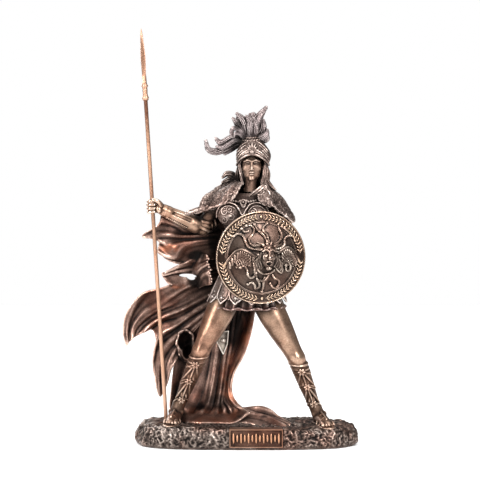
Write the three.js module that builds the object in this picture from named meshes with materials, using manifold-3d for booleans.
// A cold-cast bronze statuette: a helmeted goddess with a spear and a gorgon shield, on a rocky base.
// Millimetres, +Z up, the viewer stands at -Y. The origin is the middle of the base's flat underside.
import * as THREE from "three";
import { mergeVertices } from "three/addons/utils/BufferGeometryUtils.js";
import Module from "manifold-3d";

const wasm = await Module();
wasm.setup();

// Base
const baseLength = 190;
const baseDepth = 66;
const baseHeight = 17;
const plateWidth = 44.5;
const plateHeight = 15.5;
const plateThickness = 3;
const plateFrame = 1.3;
const plateOffset = 7.7; // from the base's middle, along X
const plateLift = 2.5; // plate's lower edge above the underside
const strokeCount = 11;

// Figure: every point of the pose is in parts of 244 of the height from sole to helmet crown
const figureHeight = 244;
const posePart = figureHeight / 244;
const capeThickness = 2.2 * posePart;

// Shield
const shieldRadius = 38.3;
const shieldWall = 2.2;
const shieldDome = 6.5;
const shieldRimRadius = 1.3;
const wreathWidth = 7.6;
const leavesPerQuarter = 12; // pairs of leaves in each quarter of the wreath
const shieldYaw = 15; // degrees, towards +X
const shieldPitch = 2; // degrees, upwards

// Spear
const shaftRadius = 1.65;
const spearLength = 341;
const bladeLength = 47;
const bladeWidth = 9.6;
const bladeThickness = 4.4;
const socketLength = 12;
const collarRadius = 2.9;
const socketDepth = 6; // how deep the spear's foot stands in the base

const fitGap = 0.3;

const bronze = new THREE.MeshStandardMaterial({ color: 0x6b4a35, roughness: 0.38, metalness: 0.9 });
const brightBronze = new THREE.MeshStandardMaterial({ color: 0x8a6547, roughness: 0.35, metalness: 0.9 });
const copper = new THREE.MeshStandardMaterial({ color: 0xc98f6c, roughness: 0.3, metalness: 0.9 });

const point = (x, y, z) => new THREE.Vector3(x, y, z);
const degrees = THREE.MathUtils.degToRad;
const turn = 2 * Math.PI;

// A point of the pose, measured from the ground under the figure.
const at = (x, y, z) => point(x, y, z).multiplyScalar(posePart).add(point(0, 0, baseHeight));
const posed = (points) => points.map((p) => at(...p));
const through = (points) => new THREE.CatmullRomCurve3(points, false, "centripetal");

// The closed mesh as a manifold solid, turned inside out if its faces pointed in.
function solidOf(geometry) {
  const bare = geometry.index ? geometry.toNonIndexed() : geometry.clone();
  const positions = new THREE.BufferGeometry().setAttribute("position", bare.getAttribute("position"));
  const merged = mergeVertices(positions, 1e-4);
  const vertProperties = merged.attributes.position.array;
  const triVerts = new Uint32Array(merged.index.array);
  const made = new wasm.Manifold(new wasm.Mesh({ numProp: 3, vertProperties, triVerts }));
  if (made.volume() > 0) return made;
  for (let i = 0; i < triVerts.length; i += 3) {
    [triVerts[i + 1], triVerts[i + 2]] = [triVerts[i + 2], triVerts[i + 1]];
  }
  return new wasm.Manifold(new wasm.Mesh({ numProp: 3, vertProperties, triVerts }));
}

const joined = (solids) => solids.reduce((all, one) => all.add(one));

// The solid's largest body: slivers that a cut leaves loose are dropped.
function mainBody(solid) {
  return solid.decompose().reduce((best, body) => (body.volume() > best.volume() ? body : best));
}

function geometryOf(solid) {
  const mesh = solid.getMesh();
  const positions = new Float32Array(mesh.numVert * 3);
  for (let i = 0; i < mesh.numVert; i++) {
    positions.set(mesh.vertProperties.subarray(i * mesh.numProp, i * mesh.numProp + 3), i * 3);
  }
  return new THREE.BufferGeometry()
    .setAttribute("position", new THREE.BufferAttribute(positions, 3))
    .setIndex(new THREE.BufferAttribute(mesh.triVerts, 1));
}

function geometryFrom(vertices, triangles) {
  const positions = new Float32Array(vertices.flatMap((v) => [v.x, v.y, v.z]));
  return new THREE.BufferGeometry()
    .setAttribute("position", new THREE.BufferAttribute(positions, 3))
    .setIndex(triangles.flat());
}

// A closed skin over rings that all hold the same number of points, with a fan at each end.
function skin(rings) {
  const sides = rings[0].length;
  const vertices = rings.flat();
  const triangles = [];
  for (let i = 0; i + 1 < rings.length; i++) {
    for (let j = 0; j < sides; j++) {
      const a = i * sides + j;
      const b = i * sides + ((j + 1) % sides);
      triangles.push([a, b, b + sides], [a, b + sides, a + sides]);
    }
  }
  for (const [ring, first] of [[rings[0], 0], [rings.at(-1), (rings.length - 1) * sides]]) {
    const middle = ring.reduce((sum, p) => sum.add(p), point(0, 0, 0)).divideScalar(sides);
    const centre = vertices.push(middle) - 1;
    for (let j = 0; j < sides; j++) {
      const pair = [first + j, first + ((j + 1) % sides)];
      triangles.push(first === 0 ? [centre, pair[1], pair[0]] : [centre, pair[0], pair[1]]);
    }
  }
  return solidOf(geometryFrom(vertices, triangles));
}

// A limb swept through points: radii are given at the points, and depth flattens it front to back.
function limb(points, radii, { sides = 8, steps = 3, depth = 1, facing = point(0, -1, 0), start = 0 } = {}) {
  const curve = through(points);
  const count = (points.length - 1) * steps;
  const rings = [];
  for (let i = 0; i <= count; i++) {
    const t = i / count;
    const along = curve.getTangent(t);
    const side = along.clone().cross(facing).normalize();
    const front = side.clone().cross(along).normalize();
    const place = t * (radii.length - 1);
    const low = Math.min(Math.floor(place), radii.length - 2);
    const radius = THREE.MathUtils.lerp(radii[low], radii[low + 1], place - low) * posePart;
    const centre = curve.getPoint(t);
    rings.push(
      Array.from({ length: sides }, (_, j) => {
        const angle = degrees(start) + (turn * j) / sides;
        return centre
          .clone()
          .addScaledVector(side, Math.cos(angle) * radius)
          .addScaledVector(front, Math.sin(angle) * radius * depth);
      }),
    );
  }
  return skin(rings);
}

function ball(centre, radii, { rotation = [0, 0, 0], sides = 8, rows = 5 } = {}) {
  const geometry = new THREE.SphereGeometry(1, sides, rows);
  geometry.rotateX(degrees(90)); // the poles on the body's own axis
  geometry.scale(...radii.map((r) => r * posePart));
  geometry.applyMatrix4(new THREE.Matrix4().makeRotationFromEuler(new THREE.Euler(...rotation.map(degrees))));
  geometry.translate(centre.x, centre.y, centre.z);
  return solidOf(geometry);
}

// A stack of level ellipses: each section is its height, centre X and Y, and half widths X and Y.
function stack(sections, { sides = 14, wave = () => 1 } = {}) {
  return skin(
    sections.map(([z, x, y, halfX, halfY], row) =>
      Array.from({ length: sides }, (_, j) => {
        const angle = (turn * j) / sides;
        const swell = wave(angle, row / (sections.length - 1));
        return at(x + Math.cos(angle) * halfX * swell, y + Math.sin(angle) * halfY * swell, z);
      }),
    ),
  );
}

// A sheet of cloth through rails that run from its root to its hem; fold lifts it along its own normal.
function cloth(rails, { along = 10, across = 16, thickness = () => capeThickness, fold = () => 0 } = {}) {
  const curves = rails.map((rail) => through(posed(rail)));
  const grid = [];
  for (let i = 0; i <= along; i++) {
    const cross = through(curves.map((curve) => curve.getPoint(i / along)));
    grid.push(Array.from({ length: across + 1 }, (_, j) => cross.getPoint(j / across)));
  }
  const lifted = grid.map((row, i) =>
    row.map((p, j) => p.clone().addScaledVector(
      normalAt(grid, i, j),
      fold(j / across, i / along) * posePart,
    )),
  );
  return sheet(lifted, thickness);
}

function normalAt(grid, i, j) {
  const rows = grid.length - 1;
  const columns = grid[0].length - 1;
  const down = grid[Math.min(i + 1, rows)][j].clone().sub(grid[Math.max(i - 1, 0)][j]);
  const across = grid[i][Math.min(j + 1, columns)].clone().sub(grid[i][Math.max(j - 1, 0)]);
  return down.cross(across).normalize();
}

// A closed solid round a grid of points: its thickness may change from the root to the hem.
function sheet(grid, thickness) {
  const rows = grid.length;
  const columns = grid[0].length;
  const offset = (side) =>
    grid.flatMap((row, i) => {
      const half = (side * thickness(i / (rows - 1))) / 2;
      return row.map((p, j) => p.clone().addScaledVector(normalAt(grid, i, j), half));
    });
  const under = rows * columns;
  const triangles = [];
  const quad = (a, b, c, d) => triangles.push([a, b, c], [a, c, d]);
  for (let i = 0; i + 1 < rows; i++) {
    for (let j = 0; j + 1 < columns; j++) {
      const a = i * columns + j;
      quad(a, a + columns, a + columns + 1, a + 1);
      quad(under + a, under + a + 1, under + a + columns + 1, under + a + columns);
    }
  }
  const border = [
    ...Array.from({ length: columns - 1 }, (_, j) => j),
    ...Array.from({ length: rows - 1 }, (_, i) => i * columns + columns - 1),
    ...Array.from({ length: columns - 1 }, (_, j) => rows * columns - 1 - j),
    ...Array.from({ length: rows - 1 }, (_, i) => (rows - 1 - i) * columns),
  ];
  border.forEach((a, i) => {
    const b = border[(i + 1) % border.length];
    quad(a, b, under + b, under + a);
  });
  return solidOf(geometryFrom([...offset(1), ...offset(-1)], triangles));
}

// A tapering lock of hair or feather through points.
function lock(points, width, { sides = 4, depth = 0.7, steps = 1, root = 0.7, end = 0.15 } = {}) {
  const radii = points.map((_, i) => {
    const t = i / (points.length - 1);
    const swell = root + (1 - root) * Math.sin(Math.min(1, t * 1.6) * (Math.PI / 2));
    return width * swell * (1 - (1 - end) * t ** 3);
  });
  return limb(posed(points), radii, { sides, depth, steps });
}

// The base: a flat underside, a rough rounded wall and gently uneven ground.
const planPower = 3.2; // how square the plan's ends are
function planPoint(angle, share) {
  const cos = Math.cos(angle);
  const sin = Math.sin(angle);
  const reach = (Math.abs(cos) ** planPower + Math.abs(sin) ** planPower) ** (-1 / planPower);
  return [(cos * reach * share * baseLength) / 2, (sin * reach * share * baseDepth) / 2];
}

const roughness = (angle, row) =>
  0.55 * Math.sin(9 * angle + 2.1 * row) +
  0.4 * Math.sin(17 * angle + 4.3 * row) +
  0.3 * Math.cos(5 * angle - row);
const groundSlope = -1.6 / 100; // the ground falls slowly towards +X
const groundAt = (x, angle, row) => baseHeight + groundSlope * x + 0.5 * roughness(angle, row);

function makeBase() {
  const sides = 34;
  const rows = [
    { share: 0.98, height: () => 0 },
    { share: 0.995, height: () => 0.4 * baseHeight },
    { share: 0.97, height: () => 0.8 * baseHeight },
    { share: 0.88, height: (x, angle) => groundAt(x, angle, 4) - 0.04 * baseHeight },
    { share: 0.5, height: (x, angle) => groundAt(x, angle, 5) },
  ];
  return skin(
    rows.map(({ share, height }, row) =>
      Array.from({ length: sides }, (_, j) => {
        const angle = (turn * j) / sides;
        const rough = row === 0 ? 0 : 0.014 * roughness(angle, row);
        const [x, y] = planPoint(angle, share + rough);
        return point(x, y, height(x, angle));
      }),
    ),
  );
}

// A box between two corners.
function block(low, high) {
  const size = high.clone().sub(low);
  const geometry = new THREE.BoxGeometry(size.x, size.y, size.z);
  geometry.translate((low.x + high.x) / 2, (low.y + high.y) / 2, (low.z + high.z) / 2);
  return solidOf(geometry);
}

// The name plate: a framed panel with a row of plain upright wedges where the inscription was.
function makePlate() {
  const front = -baseDepth / 2 - 0.4 * plateThickness;
  const left = plateOffset - plateWidth / 2;
  const reliefHeight = 0.7;
  const panel = block(
    point(left, front, plateLift),
    point(left + plateWidth, front + 3 * plateThickness, plateLift + plateHeight),
  );
  const recess = block(
    point(left + plateFrame, front - 1, plateLift + plateFrame),
    point(left + plateWidth - plateFrame, front + reliefHeight, plateLift + plateHeight - plateFrame),
  );
  const strokeHeight = 0.56 * plateHeight;
  const pitch = (plateWidth - 4 * plateFrame) / strokeCount;
  const strokes = Array.from({ length: strokeCount }, (_, i) => {
    const tall = i % 2 ? 0.72 : 1;
    const wedge = new THREE.Shape([
      new THREE.Vector2(0, (-tall * strokeHeight) / 2),
      new THREE.Vector2(0.26 * pitch, 0),
      new THREE.Vector2(0, (tall * strokeHeight) / 2),
      new THREE.Vector2(-0.26 * pitch, 0),
    ]);
    const geometry = new THREE.ExtrudeGeometry(wedge, { depth: 2 * reliefHeight, bevelEnabled: false });
    geometry.rotateX(degrees(90));
    geometry.translate(
      left + 2 * plateFrame + (i + 0.5) * pitch,
      front + 1.9 * reliefHeight,
      plateLift + plateHeight / 2,
    );
    return solidOf(geometry);
  });
  return joined([panel.subtract(recess), ...strokes]);
}

// Skeleton of the pose
const joints = {
  hipRight: [-15, 0, 112],
  kneeRight: [-38.5, -7, 64],
  ankleRight: [-59, 3, 12],
  hipLeft: [12, 0, 112],
  kneeLeft: [42, -6, 57],
  ankleLeft: [60, 3, 9],
  shoulderRight: [-24, 2, 191],
  elbowRight: [-35.5, 11, 168.5],
  wristRight: [-69.5, -2.5, 183.5],
  gripRight: [-79.7, -6, 187.5],
  shoulderLeft: [21, 2, 190],
  elbowLeft: [34, 5, 158],
  wristLeft: [21, -19, 148],
};

function makeTorso() {
  const body = stack(
    [
      [134, 1, 0, 11, 8],
      [138, 1, 0, 15.2, 11.4],
      [143, 1, 0, 14.8, 11],
      [144, 1, 0, 12.8, 9.2],
      [156, -0.5, -0.5, 14.2, 10],
      [172, -3, -1, 18, 11.5],
      [188, -1.5, 0, 22, 10],
      [195, 0.5, 1, 17, 7.6],
      [200, 1.5, 1, 7, 6.4],
      [212, 3.7, -1.5, 5.4, 5.6],
    ],
    { sides: 12 },
  );
  const breasts = [-15.5, 8.5].map((x) =>
    ball(at(x, -9.5, 179.5), [9.2, 8.2, 9], { sides: 7, rows: 4 }),
  );
  return joined([body, ...breasts]);
}

// The cuirass's carved edges: an arch over each breast, and a bead row at the throat.
function makeCuirassTrim() {
  const arches = [-15.5, 8.5].map((x) => {
    const points = [-70, -25, 25, 70].map((angle) => {
      const a = degrees(angle);
      return [x + 10.5 * Math.sin(a), -15.5 + 3.5 * Math.abs(Math.sin(a)), 179 + 11 * Math.cos(a)];
    });
    return limb(posed(points), [1, 1], { sides: 4, steps: 1 });
  });
  const beads = Array.from({ length: 7 }, (_, i) => {
    const share = i / 3 - 1;
    const place = at(-3 + 15 * share, -12.5 + 3 * share * share, 190.5 + 2.5 * share * share);
    return ball(place, [1.3, 1.3, 1.3], { sides: 4, rows: 2 });
  });
  return joined([...arches, ...beads]);
}

// The tunic's flaring skirt, recessed below its pleated hem, under a row of pointed leather tongues.
const skirtTop = 137;
const skirtHem = 99;
const skirtHalf = (z) => {
  const share = (skirtTop - z) / (skirtTop - skirtHem);
  return [14.5 + 17 * share ** 0.75, 11 + 11 * share ** 0.75];
};

function makeSkirt() {
  const folds = 13;
  const hemWidth = 2.2;
  const wave = (angle, share) => 1 + 0.05 * (1 - share) * Math.cos(folds * angle);
  const level = (z, inset) => {
    const [halfX, halfY] = skirtHalf(z);
    return [z, 0.5, 0.5, halfX - inset, halfY - inset];
  };
  const recess = [skirtHem + 7, ...level(skirtHem, 2.5 * hemWidth).slice(1)];
  const middle = skirtTop - 0.5 * (skirtTop - skirtHem);
  const sections = [
    recess,
    level(skirtHem, hemWidth),
    level(skirtHem, 0),
    level(middle, 0),
    level(skirtTop, 0),
  ];
  return stack(sections, { sides: 2 * folds, wave });
}

function makeTongues() {
  const count = 15;
  const width = 7;
  const length = 33;
  const outline = new THREE.Shape();
  outline.moveTo(-0.28 * width, 0);
  outline.lineTo(-0.5 * width, -0.8 * length);
  outline.lineTo(0, -length);
  outline.lineTo(0.5 * width, -0.8 * length);
  outline.lineTo(0.28 * width, 0);
  const tongues = Array.from({ length: count }, (_, i) => {
    const angle = (turn * (i + 0.5)) / count;
    const [topX, topY] = skirtHalf(skirtTop - 1);
    const [lowX, lowY] = skirtHalf(skirtTop - length);
    const geometry = new THREE.ExtrudeGeometry(outline, { depth: 1.6, bevelEnabled: false });
    geometry.scale(posePart, posePart, posePart);
    const out = point(Math.cos(angle), Math.sin(angle), 0);
    const top = point(topX * out.x, topY * out.y, 0);
    const low = point((lowX + 1.8) * out.x, (lowY + 1.8) * out.y, -length);
    const up = top.clone().sub(low).normalize();
    const across = up.clone().cross(out).normalize();
    const normal = across.clone().cross(up).normalize();
    const basis = new THREE.Matrix4().makeBasis(across, up, normal);
    geometry.applyMatrix4(basis);
    const place = at(0.5 + top.x, 0.5 + top.y, skirtTop - 1);
    geometry.translate(place.x, place.y, place.z);
    return solidOf(geometry);
  });
  return joined(tongues);
}

// A leg in an openwork boot: two bands and a cuff stand out of the shin.
function makeLeg(hip, knee, ankle) {
  const mix = (a, b, t, front) => [
    a[0] + (b[0] - a[0]) * t,
    a[1] + (b[1] - a[1]) * t + front,
    a[2] + (b[2] - a[2]) * t,
  ];
  const shin = (t) => mix(knee, ankle, t, 1.4 * Math.sin(Math.PI * t));
  const rings = [
    [hip, 12],
    [mix(hip, knee, 0.45, -1.5), 11.2],
    [mix(hip, knee, 0.86, -0.5), 8],
    [knee, 7.4],
    [shin(0.14), 7.5],
    [shin(0.16), 9.3],
    [shin(0.28), 8.6],
    [shin(0.3), 7.6],
    [shin(0.48), 7.1],
    [shin(0.5), 8],
    [shin(0.55), 7.6],
    [shin(0.57), 6.4],
    [shin(0.8), 5.3],
    [shin(0.82), 6.3],
    [shin(0.87), 6.2],
    [ankle, 4.8],
  ];
  const points = posed(rings.map(([place]) => place));
  return limb(points, rings.map(([, radius]) => radius), { sides: 8, steps: 1 });
}

// A sandalled foot: sole, arched foot and five toes. Heel and toe are points on the ground.
function makeFoot(heel, toe, ankle) {
  const [hx, hy, hz] = heel;
  const [tx, ty] = toe;
  const forward = point(tx - hx, ty - hy, 0).normalize();
  const side = point(-forward.y, forward.x, 0);
  const length = Math.hypot(tx - hx, ty - hy);
  const along = (share, across, up) => [
    hx + forward.x * share * length + side.x * across,
    hy + forward.y * share * length + side.y * across,
    hz + up,
  ];
  const foot = limb(
    posed([[ankle[0], ankle[1], ankle[2] + 3], along(0.14, 0, 5.6), along(0.6, 0, 4.2), along(0.92, 0, 2.8)]),
    [4.9, 6.4, 5.4, 4.6],
    { sides: 7, steps: 1, depth: 0.75, facing: point(0, -0.2, 1) },
  );
  const sole = stack(
    [-1.5, 1.2].map((up) => [hz + up, ...along(0.52, 0, 0).slice(0, 2), 6.2, 0.62 * length]),
    { sides: 10 },
  );
  const toes = [-4.2, -2.1, 0, 2.1, 4.4].map((across, i) => {
    const big = across * Math.sign(hx) < -4.1 ? 1.3 : 1;
    return ball(
      at(...along(1.02 - 0.02 * Math.abs(i - 2), across, 2)),
      [1.25 * big, 2.2, 1.5 * big],
      { sides: 4, rows: 2 },
    );
  });
  return joined([foot, sole, ...toes]);
}

// The boot's crossed straps down the front of the shin, with a boss at each crossing.
function makeStraps(knee, ankle) {
  const shin = (t, front) => [
    knee[0] + (ankle[0] - knee[0]) * t,
    knee[1] + (ankle[1] - knee[1]) * t + front,
    knee[2] + (ankle[2] - knee[2]) * t,
  ];
  const radiusAt = (t) => 8.4 - 3.1 * t;
  const levels = [0.22, 0.52, 0.84];
  const bosses = levels.map((t) => ball(
    at(...shin(t, 0.6 - radiusAt(t))),
    [2.2, 1.6, 2.2],
    { sides: 4, rows: 2 },
  ));
  const straps = [[0, 1], [1, 2]].flatMap(([a, b]) =>
    [-1, 1].map((side) => {
      const lean = (t, swing) => {
        const [x, y, z] = shin(t, 1);
        const angle = degrees(side * swing);
        return [x + radiusAt(t) * Math.sin(angle), y - radiusAt(t) * Math.cos(angle), z];
      };
      const middle = (levels[a] + levels[b]) / 2;
      return limb(
        posed([lean(levels[a], 6), lean(middle, 42), lean(levels[b], 6)]),
        [1, 1],
        { sides: 3, steps: 1 },
      );
    }),
  );
  return joined([...bosses, ...straps]);
}

// The arm that holds the spear, in a bracer, and its fist closed round the shaft.
function makeRightArm() {
  const { shoulderRight, elbowRight, wristRight, gripRight } = joints;
  const arm = limb(
    posed([
      shoulderRight,
      [-33, 8, 178],
      elbowRight,
      [-42, 9.5, 169.7],
      [-43, 9.2, 170.2],
      [-55, 3.8, 175.6],
      [-66, -0.6, 182],
      wristRight,
    ]),
    [8.4, 6.6, 6.6, 6, 7, 6.4, 5.2, 4.2],
    { sides: 8, steps: 1 },
  );
  return joined([arm, makeFist(wristRight, gripRight)]);
}

function makeFist(wrist, grip) {
  const palm = ball(
    at(grip[0] + 3.6, grip[1] + 0.6, grip[2] - 0.6),
    [4.6, 4.4, 5.6],
    { rotation: [0, -12, 0], sides: 6, rows: 3 },
  );
  const heel = limb(
    posed([wrist, [grip[0] + 4.5, grip[1] + 1, grip[2] - 1]]),
    [4.2, 3.8],
    { sides: 5, steps: 1 },
  );
  const fingers = [-4.2, -1.5, 1.2, 3.9].map((up, i) => {
    const reach = [3.7, 4.1, 4.2, 4][i];
    const points = [150, 50, -50].map((angle) => {
      const a = degrees(angle + 90);
      return [grip[0] + reach * Math.cos(a) * 0.95, grip[1] - reach * Math.sin(a) * 0.9 + 0.2, grip[2] + up];
    });
    return limb(posed(points), [1.45, 1.5, 1.3], { sides: 4, steps: 1, facing: point(0, 0, 1) });
  });
  const thumb = limb(
    posed([
      [grip[0] + 5, grip[1] - 2.5, grip[2] + 2],
      [grip[0] + 2, grip[1] - 4.6, grip[2] + 4.6],
      [grip[0] - 1.8, grip[1] - 4, grip[2] + 5],
    ]),
    [1.8, 1.6, 1.2],
    { sides: 4, steps: 1 },
  );
  return joined([palm, heel, ...fingers, thumb]);
}

// The arm that carries the shield: its forearm runs into the shield's back, where the shield cuts it off.
function makeLeftArm() {
  const { shoulderLeft, elbowLeft, wristLeft } = joints;
  const arm = limb(
    posed([shoulderLeft, [30, 4, 175], elbowLeft, [29, -8, 152], wristLeft]),
    [8.4, 6.6, 6.4, 6, 4.6],
    { sides: 7, steps: 1 },
  );
  const fist = ball(at(16.5, -25, 146), [5.2, 6, 5.6]);
  const pad = limb(
    posed([[20, -20, 148], [21.5, -40, 148]]),
    [5.2, 5.2],
    { sides: 6, steps: 1, facing: point(0, 0, 1) },
  );
  return joined([arm, fist, pad]);
}

// A calm, even face and a plain skull. Each level gives its height, half width and back, and how far
// forward the face stands at the middle line, beside it, at the eye and at the cheek's edge.
function makeHead() {
  const middle = 4.1;
  const levels = [
    [204, 5, 2, [-3, -2.8, -2.4, -1]],
    [207.6, 5.4, 4, [-9.4, -9, -7, -3.6]],
    [209.6, 6, 6, [-12.4, -11.6, -8.6, -4.4]],
    [211.2, 6.6, 7, [-11.6, -11.2, -9.2, -5]],
    [212.6, 7, 7.4, [-13, -11.8, -9.8, -5.4]],
    [214.4, 7.4, 8, [-12.2, -11.8, -10.4, -5.8]],
    [216.4, 7.9, 8.4, [-15, -12, -11.2, -6]],
    [219, 8.2, 8.6, [-13.8, -11.4, -10.8, -6]],
    [221.8, 8.4, 8.6, [-12.4, -10.4, -10.2, -6]],
    [224.2, 8.5, 8.4, [-12.6, -12.4, -11.4, -6.4]],
    [229, 8.4, 8, [-11.6, -11.2, -9.8, -5.4]],
    [233, 6, 6, [-7, -6.6, -5.6, -3]],
  ];
  return skin(
    levels.map(([z, half, back, [front, beside, eye, edge]]) => {
      const side = (sign) => [
        [sign * 0.2 * half, beside],
        [sign * 0.52 * half, eye],
        [sign * 0.88 * half, edge],
        [sign * half, 0],
        [sign * 0.7 * half, 0.7 * back],
      ];
      const outline = [[0, front], ...side(1), [0, back], ...side(-1).reverse()];
      return outline.map(([x, y]) => at(middle + x, y, z));
    }),
  );
}

// The helmet: a dome open over the face, an arched brim, two jewels, and a cheek piece at each side.
function makeHelmet() {
  const dome = stack(
    [
      [217, 5, 2, 12.6, 11.6],
      [222, 5.2, -0.5, 13.4, 14],
      [228, 5.7, -1, 14.8, 15],
      [234, 5.4, -0.5, 12.8, 13.6],
      [240, 4.8, 0.5, 8.4, 9.6],
      [244, 4.2, 1, 4.6, 5.4],
    ],
    { sides: 12 },
  );
  const opening = ball(at(4.2, -15, 216), [12.6, 15, 13.2], { sides: 8, rows: 6 });
  const brim = limb(
    posed([
      [-8.2, -3, 221.6],
      [-5.8, -10.2, 225.6],
      [-1, -14, 228.8],
      [4.2, -15.6, 229.8],
      [9.4, -14.2, 228.8],
      [14.6, -10.4, 225.6],
      [18.4, -3, 221.6],
    ]),
    [1.5, 1.5],
    { sides: 4, steps: 1, facing: point(0, 0, 1) },
  );
  const jewels = [
    ball(at(4.4, -14.6, 234.8), [2.3, 1.8, 3.2], { sides: 4, rows: 2 }),
    ball(at(4, -16.4, 230.4), [1.7, 1.3, 1.5], { sides: 4, rows: 2 }),
  ];
  const cheekPieces = [-1, 1].map((side) => {
    const x = (reach) => 4.2 + side * reach;
    return limb(
      posed([[x(11), -6, 223], [x(10.2), -7.6, 214], [x(8.2), -8.4, 205.6]]),
      [1.7, 1.6, 1.1],
      { sides: 4, steps: 1 },
    );
  });
  return joined([dome.subtract(opening), brim, ...jewels, ...cheekPieces]);
}

function makePlume() {
  const feathers = [
    [[[5, 0, 242], [8, -1, 252], [10, -1, 260], [16.3, 0, 269.7]], 4.4],
    [[[2, 1, 242], [3.5, 0, 254], [5, 0, 264.5]], 6.5],
    [[[0, 0, 242], [-2, -1, 252], [-4, 0, 260], [-8.6, 0, 264]], 4.6],
    [[[-1, 0, 242], [-5, -1, 250], [-9, 0, 256], [-11.9, 0, 260.3]], 3.6],
    [[[6, 0, 242], [12, -1, 248], [14, 0, 258.5]], 4.4],
    [[[7, 0, 242], [12, -1, 242.5], [16, 0, 244.5], [17.5, 0, 250]], 4],
    [[[-1, -1, 243], [-6, -2, 249], [-11, -2, 251], [-12.8, -1, 247], [-12, -1, 243.5]], 2.7],
    [[[-1, 3, 242], [-8, 5, 245], [-15, 8, 242], [-22, 10, 239], [-26.9, 10, 243.3]], 3.8],
    [[
      [-1, 3, 241], [-9, 5, 239], [-17, 8, 235], [-26, 10, 232], [-32.5, 10, 233.5], [-35.2, 10, 241.2],
    ], 3.8],
    [[[-8, 5, 237], [-14, 7, 233], [-19.2, 8, 228.7]], 3.2],
  ];
  const root = ball(at(3, 1, 244.5), [6, 6, 3.4], { sides: 7, rows: 3 });
  return joined([root, ...feathers.map(([points, width]) => lock(points, width))]);
}

function makeHair() {
  const locks = [
    [[[16, -3, 221], [17.4, -3.5, 212], [19, -3, 204], [23.5, -2, 198.5]], 3.4],
    [[[-7, -1, 221], [-7.6, 1, 212], [-9, 4, 204]], 3],
    [[[-5, 7, 216], [-10, 9, 211], [-16, 10, 210.5], [-21, 9.5, 207]], 4],
    [[[-4, 8, 212], [-12, 10, 206], [-20, 10, 201.5], [-27, 9, 200]], 4],
    [[[4, 9, 220], [4, 14, 207], [3, 17, 190]], 7],
  ];
  const nape = ball(at(4.5, 6, 213), [10, 7, 12], { sides: 7, rows: 5 });
  return joined([nape, ...locks.map(([points, width]) => lock(points, width))]);
}

// The short upper cape: from a standing collar over both shoulders, open at the front.
function makeMantle() {
  const rails = [
    [[0, -10, 195], [-8, -14, 190], [-14, -17, 186]],
    [[-5, -6, 198], [-20, -12, 192], [-31, -14, 184]],
    [[-8, 5, 210], [-16, 3, 204], [-27, -2, 194], [-40, -4, 183], [-51, -4, 177]],
    [[-6, 11, 209], [-14, 13, 202], [-26, 14, 193], [-40, 14, 182]],
    [[3, 13, 204], [2, 16, 192], [1, 20, 177]],
    [[11, 10, 203], [26, 13, 192], [36, 14, 180]],
    [[13, 1, 201], [28, -1, 194], [38, -3, 186], [43, -4, 173]],
    [[11, -7, 197], [22, -12, 191], [32, -16, 182], [37, -16, 173]],
    [[8, -11, 195], [13, -15, 189], [17, -18, 184]],
  ];
  const rolledHem = (t) => capeThickness * (t < 1 ? 1 : 1.7);
  const shell = cloth(rails, {
    along: 3,
    across: 20,
    thickness: rolledHem,
    fold: (s, t) => 0.9 * t * Math.sin(turn * 5 * s),
  });
  const scarf = limb(
    posed([[-1, -11, 192], [6, -12, 197.5], [15, -8, 202]]),
    [1.8, 2.2, 1.4],
    { sides: 5, steps: 1 },
  );
  const clasp = ball(at(15, -9, 201.5), [2.1, 1.5, 2.1], { sides: 4, rows: 2 });
  return joined([shell, scarf, clasp]);
}

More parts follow.
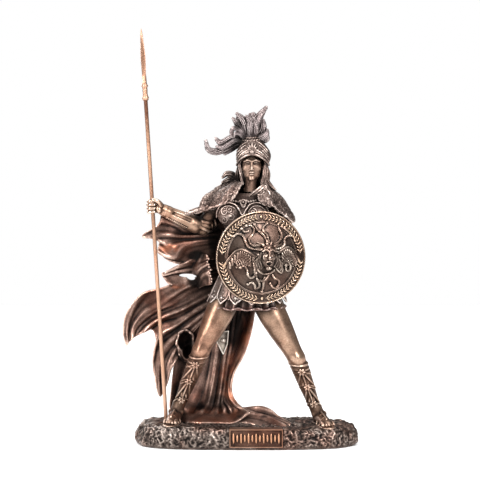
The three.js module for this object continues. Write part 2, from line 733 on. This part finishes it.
// The long cape: a fall from the shoulders to the ground, and the parts the wind lifts away behind the spear.
function makeCape() {
  const fall = [
    [
      [30, 9, 191], [27, 16, 153], [11, 20, 108], [4, 18, 78], [-3, 15, 58], [-13, 13, 38],
      [-15, 11, 23], [-6, 7, 9], [4, -5, -1],
    ],
    [
      [15, 13, 193], [12, 20, 153], [1, 24, 108], [-7, 22, 78], [-13, 20, 43], [-17, 16, 18],
      [-12, 4, 4], [-10, -8, -1],
    ],
    [
      [0, 14, 194], [-4, 23, 153], [-10, 26, 108], [-14, 24, 73], [-20, 22, 38], [-24, 17, 13],
      [-24, 2, 3], [-25, -10, -1],
    ],
    [
      [-15, 13, 193], [-18, 22, 153], [-24, 26, 108], [-30, 25, 73], [-34, 23, 38], [-38, 18, 13],
      [-40, 3, 2], [-43, -9, -1],
    ],
    [
      [-30, 9, 191], [-33, 19, 153], [-42, 26, 113], [-56, 28, 78], [-62, 26, 53], [-65, 22, 28],
      [-66, 15, 10], [-62, 10, -1],
    ],
  ];
  const swoosh = [
    [
      [-18, 23, 128], [-50, 15, 123], [-72, 12, 114], [-90, 8, 110], [-102, 3, 95], [-105, 0, 81],
      [-103, -1, 67],
    ],
    [[-18, 24, 120], [-50, 18, 111], [-72, 16, 102], [-88, 12, 95], [-96, 8, 83], [-97, 5, 73]],
    [[-18, 24, 113], [-48, 20, 101], [-66, 19, 89], [-80, 14, 78]],
    [[-20, 24, 107], [-45, 21, 93], [-60, 21, 80], [-70, 19, 69], [-77, 16, 59], [-80, 13, 49]],
    [[-24, 24, 101], [-44, 21, 83], [-58, 21, 67], [-68, 18, 51], [-73, 15, 35], [-75, 12, 21]],
    [[-28, 24, 95], [-42, 22, 81], [-52, 22, 69], [-59, 20, 55], [-64, 18, 47]],
  ];
  const overArm = [
    [[-20, 22, 183], [-45, 12, 173], [-60, 8, 173], [-71, 4, 173]],
    [[-20, 22, 175], [-48, 12, 167], [-62, 4, 165], [-74, 2, 168]],
    [[-20, 23, 167], [-50, 12, 159], [-68, 2, 157], [-88, 0, 159]],
    [[-20, 23, 159], [-50, 10, 151], [-64, 2, 149], [-75, 0, 154]],
    [[-20, 23, 151], [-48, 12, 143], [-64, 4, 139], [-75, 2, 144]],
    [[-20, 23, 138], [-44, 15, 132], [-58, 11, 131], [-67, 7, 134]],
  ];
  const lip = [
    [[-20, 23, 139], [-44, 16, 133], [-58, 12, 131], [-72, 8, 127]],
    [[-20, 24, 131], [-44, 18, 127], [-58, 14, 123], [-71, 9, 124]],
    [[-20, 24, 123], [-46, 18, 119], [-58, 15, 117], [-66, 11, 118]],
  ];
  const flap = [
    [[-24, 23, 150], [-27, 12, 148], [-31, 3, 145]],
    [[-26, 23, 138], [-29, 12, 134], [-31, 2, 132]],
    [[-30, 23, 126], [-31, 14, 122], [-31, 3, 119]],
  ];
  const wave = (count, height, phase = 0) => (s, t) =>
    height * (0.25 + 0.75 * t) * Math.sin(turn * (count * s + phase));
  const sheets = [
    cloth(fall, { along: 8, across: 11, fold: wave(3, 2.4) }),
    cloth(swoosh, { along: 6, across: 9, fold: wave(2.5, 2) }),
    cloth(overArm, { along: 3, across: 7, fold: wave(2, 2.2, 0.3) }),
    cloth(lip, { along: 2, across: 3, fold: wave(1, 1) }),
    cloth(flap, { along: 2, across: 2, fold: wave(1.5, 1) }),
  ];
  const train = limb(
    posed([[-16, 14, 8], [-2, 12, 8], [12, 10, 8], [26, 4, 5.5], [41, -8, 0]]),
    [9, 7, 6, 4.5, 2],
    { sides: 6, steps: 1, facing: point(0, 0, 1) },
  );
  return joined([...sheets, train]);
}

// The shield is built lying on its back: X to the right, Y up, +Z out of its face. Its rim's plane is Z = 0.
const shieldBulge = (radius) => shieldDome * (1 - (radius / shieldRadius) ** 2);
const wreathOuter = shieldRadius - 2 * shieldRimRadius;
const wreathInner = wreathOuter - wreathWidth;
const onShield = (x, y, lift) => point(x, y, shieldBulge(Math.hypot(x, y)) + lift);

// The shield's body: a hollow dish with a raised rim inside its edge, and a laurel wreath. Its leaves
// stand in pairs that point away from both sides, towards the top and the bottom.
function makeDish() {
  const coarse = 2 * leavesPerQuarter;
  const columns = 4 * coarse;
  const leafHeight = 0.9;
  const ring = (count, radius, lift) =>
    Array.from({ length: count }, (_, j) => {
      const angle = (turn * j) / count;
      return onShield(radius * Math.cos(angle), radius * Math.sin(angle), lift(j));
    });
  const leaf = (ridge) => (j) => (j % coarse !== 0 && j % 2 === ridge ? leafHeight : 0.1);
  const fine = [
    ring(columns, wreathInner, leaf(1)),
    ring(columns, (wreathInner + wreathOuter) / 2, leaf(0)),
    ring(columns, wreathOuter, leaf(1)),
    ring(columns, shieldRadius - shieldRimRadius, () => shieldRimRadius),
    ring(columns, shieldRadius, () => -shieldWall),
  ];
  const field = ring(coarse, wreathInner - 1, () => 0);
  const front = ring(coarse, 0.5 * wreathInner, () => 0);
  const back = ring(coarse, 0.5 * shieldRadius, () => -shieldWall);
  const middles = [onShield(0, 0, 0), onShield(0, 0, -shieldWall)];
  const vertices = [...fine.flat(), ...field, ...front, ...back, ...middles];
  const triangles = [];
  for (let i = 0; i + 1 < fine.length; i++) {
    for (let j = 0; j < columns; j++) {
      const next = (j + 1) % columns;
      const [a, b, c, d] = [j, columns + j, columns + next, next].map((k) => k + i * columns);
      const towardsTop = Math.sin((2 * turn * (j + 0.5)) / columns) > 0;
      if (towardsTop === (i === 0)) triangles.push([a, b, c], [a, c, d]);
      else triangles.push([a, b, d], [b, c, d]);
    }
  }
  const firstField = fine.length * columns;
  const firstFront = firstField + coarse;
  const firstBack = firstFront + coarse;
  const frontMiddle = firstBack + coarse;
  const after = (first, k) => first + ((k + 1) % coarse);
  for (let k = 0; k < coarse; k++) {
    const outside = (first) => Array.from({ length: 5 }, (_, m) => first + ((4 * k + m) % columns));
    const web = (near, next, far) => [
      [near, far[0], far[1]],
      [near, far[1], far[2]],
      [near, far[2], next],
      [next, far[2], far[3]],
      [next, far[3], far[4]],
    ];
    const [a, b] = [firstField + k, after(firstField, k)];
    const [c, d] = [firstFront + k, after(firstFront, k)];
    const [e, f] = [firstBack + k, after(firstBack, k)];
    triangles.push(...web(a, b, outside(0)), [c, a, b], [c, b, d], [frontMiddle, c, d]);
    const backFaces = [...web(e, f, outside(firstField - columns)), [frontMiddle + 1, e, f]];
    triangles.push(...backFaces.map(([p, q, r]) => [p, r, q]));
  }
  return solidOf(geometryFrom(vertices, triangles));
}

// The relief's points and radii are given for a shield with a radius of 38.3.
const reliefScale = shieldRadius / 38.3;

// One raised cord of the relief, lying on the shield's face through points [x, y].
function cord(points, radii, { lift = 0.3, sides = 3, steps = 1 } = {}) {
  return limb(
    points.map(([x, y]) => onShield(x * reliefScale, y * reliefScale, lift)),
    radii.map((r) => (r * reliefScale) / posePart),
    { sides, steps, facing: point(0, 0, 1), start: 90 },
  );
}

function knob(x, y, lift, radii, options) {
  const centre = onShield(x * reliefScale, y * reliefScale, lift);
  return ball(centre, radii.map((r) => (r * reliefScale) / posePart), { sides: 6, rows: 4, ...options });
}

// The gorgon: an open-mouthed face between two wings, in a tangle of snakes.
function makeGorgon() {
  const snakes = [
    [[-25.6, 17.4], [-20.8, 18.8], [-14.6, 15.4], [-13.3, 9.2], [-7.8, 5.1]],
    [[-11.9, 25.6], [-7.1, 23.6], [-9.2, 17.4], [-9.9, 12], [-6.4, 9.9]],
    [[-2.3, 29.8], [1.8, 25.7], [0.4, 20.2], [3.1, 15.4]],
    [[16.8, 23.6], [17.5, 14.7], [15.5, 7.9], [13.4, 5.1]],
    [[22.3, 16.1], [27.8, 13.4], [27.8, 8.5]],
    [[-6.4, 1], [-6.4, -5.8], [-7.8, -14.7], [-11.2, -15.4], [-13.3, -9.9], [-16, -8.5]],
    [[-3.7, -9.9], [1.8, -14], [7.9, -12.7]],
    [[-5.7, -13.3], [-3, -18.8], [0.4, -18.1], [-0.3, -26.3]],
    [[6.6, -25], [12, -25], [13.4, -19.5], [10, -16.1]],
    [[18.2, -5.8], [18.9, -11.3], [21.6, -11.3], [21.6, -7.2]],
  ].map((points) => cord(points, [1.3, 1.6, 1.1]));
  const wings = [-1, 1].flatMap((side) => {
    const x = (reach) => 1.2 + side * reach;
    return [
      cord([[x(9.5), 2], [x(17), 5], [x(24), 2], [x(31), -6]], [2.4, 3, 2.4, 1.2]),
      cord([[x(12), 0], [x(19), 0], [x(26), -6]], [2, 2.4, 1.2]),
    ];
  });
  const hair = [-40, 40].map((angle) => {
    const a = degrees(angle);
    const from = [3.8 + 4 * Math.sin(a), 6 + 3 * Math.cos(a)];
    return cord([from, [from[0] + 5 * Math.sin(a), from[1] + 5 * Math.cos(a)]], [1.5, 1]);
  });
  const face = [
    knob(3.8, -1, 0.6, [6.3, 10.6, 3.6], { sides: 8, rows: 6 }),
    knob(3.8, -0.8, 4.2, [1.2, 2.6, 1.2]),
    knob(0.8, 3.6, 3.4, [1.6, 0.9, 0.8]),
    knob(6.8, 3.8, 3.4, [1.6, 0.9, 0.8]),
    knob(4, -9, 2.2, [2.6, 1.6, 1.4]),
  ];
  const mouth = knob(4, -6.2, 3.6, [1.7, 1.4, 1.6]);
  return joined([...snakes, ...wings, ...hair, ...face]).subtract(mouth);
}

// Everything the shield fills or covers in front of its back, for cutting the arm to it.
function shieldRoom() {
  const spaceOverFace = 14;
  const front = shieldDome + spaceOverFace;
  const reach = shieldRadius + 3 * fitGap;
  const back = [1, 0.5, 0].map((share) => {
    const bulge = shieldBulge(share * shieldRadius);
    return new THREE.Vector2(reach * share, bulge - shieldWall - 1.5 * fitGap);
  });
  const outline = [...back.reverse(), new THREE.Vector2(reach, front), new THREE.Vector2(0, front)];
  const geometry = new THREE.LatheGeometry(outline, 26);
  geometry.rotateX(degrees(90));
  return solidOf(geometry);
}

// The spear is built standing on its foot at the origin, its blade facing the viewer.
function makeSpear(gap = 0) {
  const profile = [
    [0, -gap],
    [0.7 * shaftRadius + gap, -gap],
    [shaftRadius + gap, 5],
    [shaftRadius + gap, spearLength - bladeLength - socketLength],
    [collarRadius + gap, spearLength - bladeLength - socketLength + 0.8],
    [collarRadius + gap, spearLength - bladeLength - socketLength + 2.2],
    [shaftRadius + 0.2 + gap, spearLength - bladeLength - socketLength + 3],
    [shaftRadius + 0.4 + gap, spearLength - bladeLength - 2],
    [collarRadius + gap, spearLength - bladeLength - 1.2],
    [collarRadius + gap, spearLength - bladeLength],
    [shaftRadius + gap, spearLength - bladeLength + 1],
    [0, spearLength - bladeLength + 1],
  ].map(([radius, z]) => new THREE.Vector2(radius, z));
  const rod = new THREE.LatheGeometry(profile, 10);
  rod.rotateX(degrees(90));
  const ribs = 8;
  const blade = skin(
    [[0, 0.3, 1], [0.12, 0.42, 1], [0.32, 0.86, 0.9], [0.46, 1, 0.8], [0.7, 0.72, 0.7], [1, 0.04, 0.1]].map(
      ([share, wide, thick]) =>
        Array.from({ length: ribs }, (_, j) => {
          const angle = (turn * j) / ribs;
          const flat = j % 2 ? 0.62 : 1;
          return point(
            (Math.cos(angle) * wide * flat * bladeWidth) / 2,
            (Math.sin(angle) * thick * flat * bladeThickness) / 2,
            spearLength - bladeLength + share * bladeLength,
          );
        }),
    ),
  );
  return joined([solidOf(rod), blade]);
}

// Places
const spearFoot = at(-68.5, 0, -socketDepth / posePart);
const spearAim = at(...joints.gripRight).sub(spearFoot).normalize();
const spearTurn = new THREE.Quaternion().setFromUnitVectors(point(0, 0, 1), spearAim);
const spearPlace = new THREE.Matrix4().compose(spearFoot, spearTurn, point(1, 1, 1));

const shieldPlace = new THREE.Matrix4()
  .makeTranslation(...at(11.6, -34, 144.6).toArray())
  .multiply(new THREE.Matrix4().makeRotationZ(degrees(shieldYaw)))
  .multiply(new THREE.Matrix4().makeRotationX(degrees(90 - shieldPitch)));

const placed = (solid, matrix) => solid.transform(matrix.elements);

const figure = joined([
  makeTorso(),
  makeCuirassTrim(),
  makeSkirt(),
  makeTongues(),
  makeLeg(joints.hipRight, joints.kneeRight, joints.ankleRight),
  makeLeg(joints.hipLeft, joints.kneeLeft, joints.ankleLeft),
  makeFoot([-60, 6, 0.6], [-65, -19, 0], joints.ankleRight),
  makeFoot([61, 6, -1.4], [69, -19, -2], joints.ankleLeft),
  makeStraps(joints.kneeRight, joints.ankleRight),
  makeStraps(joints.kneeLeft, joints.ankleLeft),
  makeRightArm(),
  makeLeftArm(),
  makeHead(),
  makeHelmet(),
  makePlume(),
  makeHair(),
  makeMantle(),
  makeCape(),
]);
const statueSolid = joined([makeBase(), makePlate(), figure])
  .subtract(placed(makeSpear(fitGap), spearPlace))
  .subtract(placed(shieldRoom(), shieldPlace));

function meshOf(name, solid, material) {
  const mesh = new THREE.Mesh(geometryOf(solid), material);
  mesh.name = name;
  return mesh;
}

const shieldSolid = joined([makeDish(), makeGorgon()]);
const group = new THREE.Group();
group.name = "statuette";
group.add(meshOf("statue", mainBody(statueSolid), bronze));
group.add(meshOf("shield", placed(mainBody(shieldSolid), shieldPlace), brightBronze));
group.add(meshOf("spear", placed(makeSpear(), spearPlace), copper));

export default group;
